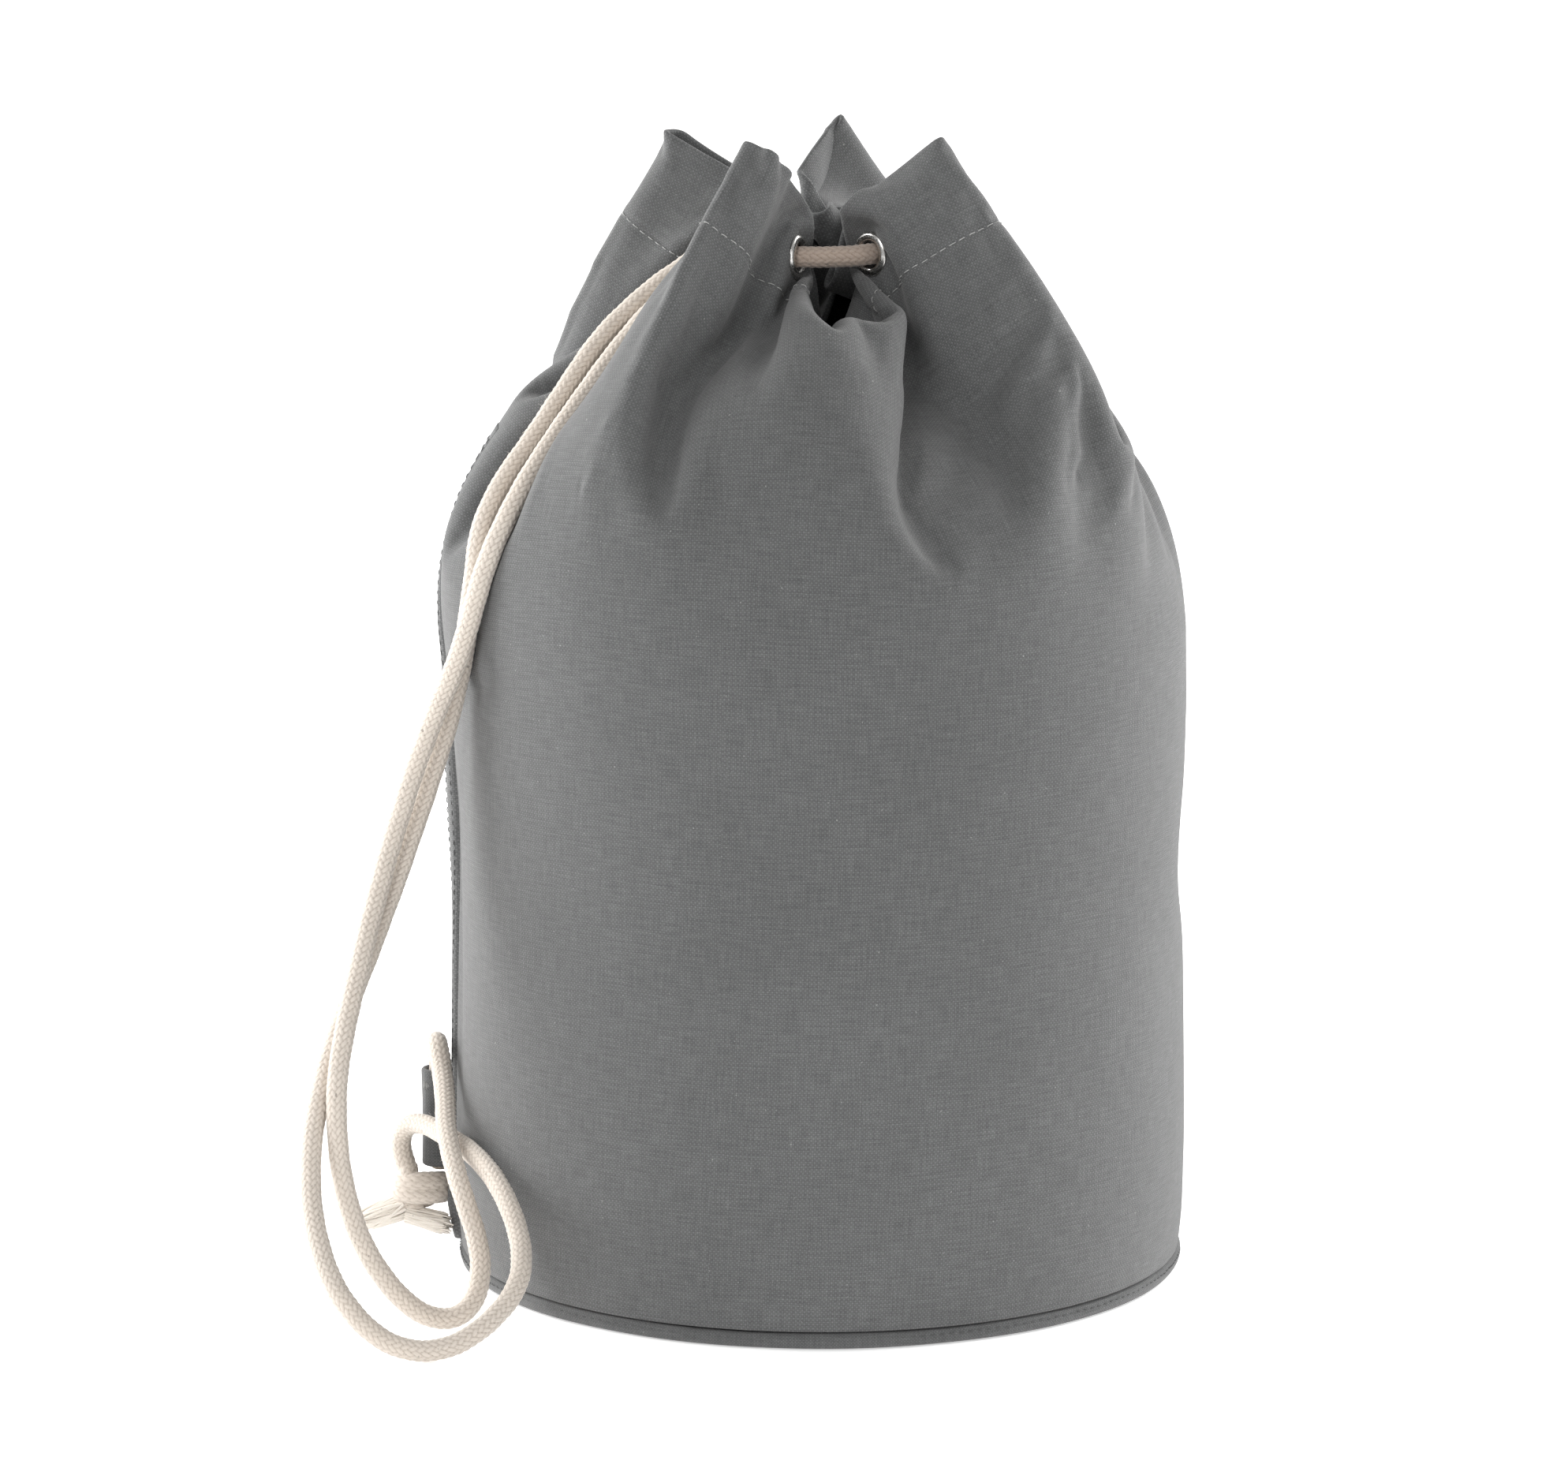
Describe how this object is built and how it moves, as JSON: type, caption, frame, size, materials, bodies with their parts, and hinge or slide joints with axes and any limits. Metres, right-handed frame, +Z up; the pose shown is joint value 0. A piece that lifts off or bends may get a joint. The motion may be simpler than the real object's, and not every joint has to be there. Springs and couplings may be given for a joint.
{
  "type": "drawstring backpack",
  "caption": "Free-standing cylindrical canvas drawstring backpack, its gathered mouth closed by one cotton cord through metal eyelets and led down one side to a tab.",
  "frame": {"origin": "centre of the flat underside of the base", "axes": "+Z up through the mouth, -Y the front, -X the side with the cord tab and the loose loops of the drawstring"},
  "size_m": [0.3337, 0.2995, 0.438],
  "materials": {
    "canvas": "matte plain-weave cotton canvas",
    "binding_tape": "matte woven tape",
    "eyelet_metal": "nickel-plated, satin",
    "cotton_cord": "undyed braided cotton, matte"
  },
  "bodies": {
    "bag": {"base_panel": "canvas", "base_seam_binding": "binding_tape", "body_panel": "canvas", "side_seam": "canvas", "cord_tab": "canvas", "drawstring_inner_strand": "cotton_cord", "drawstring_outer_strand": "cotton_cord"},
    "neck": {"gathered_neck": "canvas", "eyelet_1": "eyelet_metal", "eyelet_2": "eyelet_metal", "eyelet_3": "eyelet_metal", "eyelet_4": "eyelet_metal", "eyelet_5": "eyelet_metal", "eyelet_6": "eyelet_metal", "eyelet_7": "eyelet_metal", "eyelet_8": "eyelet_metal", "eyelet_washer_1": "eyelet_metal", "eyelet_washer_2": "eyelet_metal", "eyelet_washer_3": "eyelet_metal", "eyelet_washer_4": "eyelet_metal", "eyelet_washer_5": "eyelet_metal", "eyelet_washer_6": "eyelet_metal", "eyelet_washer_7": "eyelet_metal", "eyelet_washer_8": "eyelet_metal", "drawstring_neck_run": "cotton_cord"},
    "knot": {"drawstring_knot": "cotton_cord", "frayed_end_1": "cotton_cord", "frayed_end_2": "cotton_cord"}
  },
  "joints": [
    {"name": "neck_slump", "type": "slide", "parent": "bag", "child": "neck", "axis": [0, 0, -1], "range_m": [0, 0.04], "deforming": ["body_panel", "drawstring_inner_strand", "drawstring_outer_strand"]},
    {"name": "knot_swing", "type": "hinge", "parent": "bag", "child": "knot", "pos_m": [-0.1559, -0.0015, 0.0335], "axis": [1, 0, 0], "range_deg": [-6, 6]}
  ]
}
